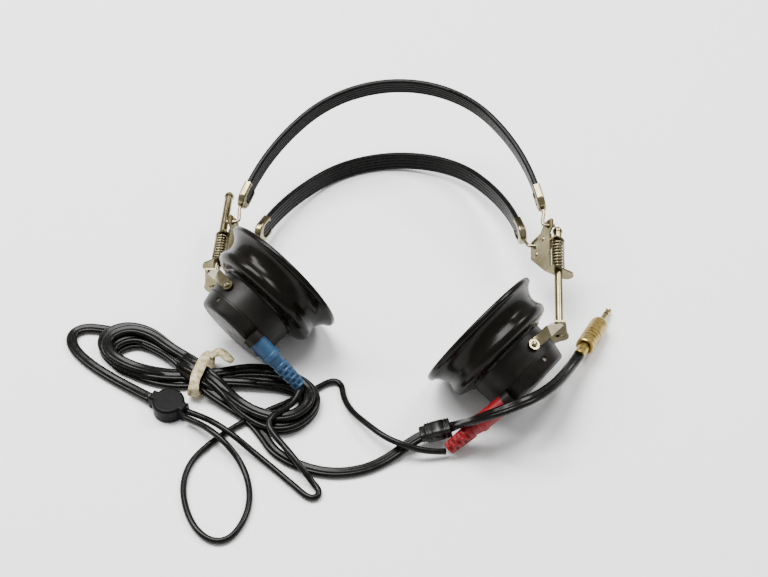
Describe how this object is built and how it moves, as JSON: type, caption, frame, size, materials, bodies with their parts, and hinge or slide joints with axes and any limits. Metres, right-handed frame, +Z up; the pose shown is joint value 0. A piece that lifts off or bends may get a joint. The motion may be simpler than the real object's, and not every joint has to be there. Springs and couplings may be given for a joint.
{
  "type": "headphones",
  "caption": "Folding radio headphones: two sprung ribbed head bands, sliding rods, forked ear cups, twin cord tied in a hank, and a small round plug.",
  "frame": {"origin": "on the table under the middle of the bands and cups, cord not counted", "axes": "+X towards the red-booted end of the bands, +Y from the cups to the crown of the bands, +Z up"},
  "size_m": [0.3004, 0.2862, 0.0705],
  "materials": {
    "band_rubber": "ribbed, semi-gloss",
    "nickel": "worn nickel plate",
    "spring_steel": "bright wire",
    "screw_steel": "blackened",
    "bakelite_gloss": "polished",
    "bakelite_satin": "satin",
    "boot_blue": "satin",
    "boot_red": "satin",
    "cord_black": "glossy",
    "clamp_plastic": "satin",
    "splitter_plastic": "matte",
    "tie_strip": "creased strip",
    "plug_gold": "satin gilt",
    "contact_metal": "polished",
    "insulator": "matte",
    "diaphragm_metal": "thin sheet",
    "magnet_steel": "cast",
    "coil_winding": "lacquered wire"
  },
  "bodies": {
    "brackets": {"left_bracket": "nickel", "left_upper_lug": "nickel", "left_bracket_rivets": "nickel", "left_spring": "spring_steel", "right_bracket": "nickel", "right_upper_lug": "nickel", "right_bracket_rivets": "nickel", "right_spring": "spring_steel", "left_cord": "cord_black", "right_cord": "cord_black", "cable_to_hank": "cord_black", "cable_to_clamp": "cord_black", "cable_to_plug": "cord_black", "cable_hank": "cord_black", "cable_tie": "tie_strip", "splitter_base": "splitter_plastic", "splitter_lid": "splitter_plastic", "cable_clamp": "clamp_plastic", "plug_collar": "plug_gold", "plug_barrel": "plug_gold", "plug_contacts": "contact_metal", "plug_insulators": "insulator"},
    "lower_band": {"lower_band_cover": "band_rubber", "lower_band_wire": "spring_steel", "lower_ferrule_left": "nickel", "lower_ferrule_right": "nickel"},
    "upper_band": {"upper_band_cover": "band_rubber", "upper_band_wire": "spring_steel", "upper_ferrule_left": "nickel", "upper_ferrule_right": "nickel"},
    "left_rod": {"left_rod": "nickel"},
    "left_fork": {"left_fork": "nickel"},
    "left_cup": {"left_bell": "bakelite_gloss", "left_body": "bakelite_satin", "left_diaphragm": "diaphragm_metal", "left_magnet": "magnet_steel", "left_pole_pieces": "magnet_steel", "left_coils": "coil_winding", "left_back_cap": "bakelite_satin", "left_cap_screws": "screw_steel", "left_fork_pins": "nickel", "left_boot": "boot_blue"},
    "right_rod": {"right_rod": "nickel"},
    "right_fork": {"right_fork": "nickel"},
    "right_cup": {"right_bell": "bakelite_gloss", "right_body": "bakelite_satin", "right_diaphragm": "diaphragm_metal", "right_magnet": "magnet_steel", "right_pole_pieces": "magnet_steel", "right_coils": "coil_winding", "right_back_cap": "bakelite_satin", "right_cap_screws": "screw_steel", "right_fork_pins": "nickel", "right_boot": "boot_red"}
  },
  "joints": [
    {"name": "lower_band_fan", "type": "hinge", "parent": "brackets", "child": "lower_band", "pos_m": [-0.08051, 0.02365, 0.01538], "axis": [0.9931, -0.0876, 0.0777], "range_deg": [0, 9]},
    {"name": "upper_band_fan", "type": "hinge", "parent": "brackets", "child": "upper_band", "pos_m": [-0.08671, 0.03077, 0.02569], "axis": [0.9929, -0.0925, 0.0754], "range_deg": [-6, 28]},
    {"name": "left_rod_slide", "type": "slide", "parent": "brackets", "child": "left_rod", "axis": [-0.0732, -0.9937, -0.0854], "range_m": [-0.015, 0], "deforming": ["left_cord"]},
    {"name": "left_fork_swivel", "type": "hinge", "parent": "left_rod", "child": "left_fork", "pos_m": [-0.09495, -0.0123, 0.0187], "axis": [-0.0732, -0.9937, -0.0854], "range_deg": [0, 18], "deforming": ["left_cord"]},
    {"name": "left_cup_tilt", "type": "hinge", "parent": "left_fork", "child": "left_cup", "pos_m": [-0.07346, -0.03852, 0.02661], "axis": [-0.3977, -0.0494, 0.9162], "range_deg": [-4, 3], "deforming": ["left_cord"]},
    {"name": "right_rod_slide", "type": "slide", "parent": "brackets", "child": "right_rod", "axis": [-0.0401, -0.9777, -0.2062], "range_m": [0, 0.005], "deforming": ["right_cord", "cable_to_plug"]},
    {"name": "right_fork_swivel", "type": "hinge", "parent": "right_rod", "child": "right_fork", "pos_m": [0.09215, -0.0509, 0.02199], "axis": [-0.0401, -0.9777, -0.2062], "range_deg": [0, 18], "deforming": ["right_cord"]},
    {"name": "right_cup_tilt", "type": "hinge", "parent": "right_fork", "child": "right_cup", "pos_m": [0.0672, -0.07493, 0.02537], "axis": [0.3253, -0.2079, 0.9225], "range_deg": [0, 5], "deforming": ["right_cord"]}
  ]
}
